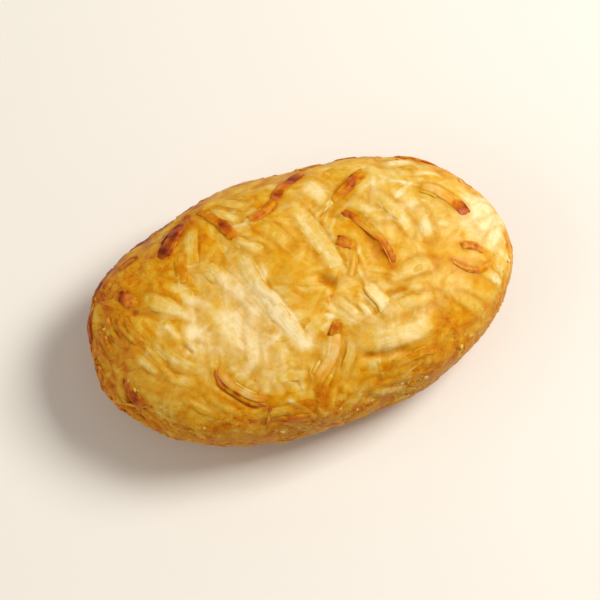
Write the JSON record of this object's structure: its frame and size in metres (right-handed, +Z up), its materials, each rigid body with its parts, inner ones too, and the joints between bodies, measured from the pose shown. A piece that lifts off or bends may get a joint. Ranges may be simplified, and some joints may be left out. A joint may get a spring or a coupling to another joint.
{
  "type": "rosti croquette",
  "caption": "Oval pressed croquette of grated potato with a fried, shredded golden crust and a flat underside to lie on.",
  "frame": {"origin": "middle of the flat spot on the underside", "axes": "+X along the oval, +Y across it, +Z up from the flat spot"},
  "size_m": [0.0649, 0.0401, 0.0212],
  "materials": {
    "fried_potato": "golden fried potato crust, satin with small glossy spots, browned shred tips"
  },
  "bodies": {
    "root": {"rosti_croquette": "fried_potato"}
  },
  "joints": []
}
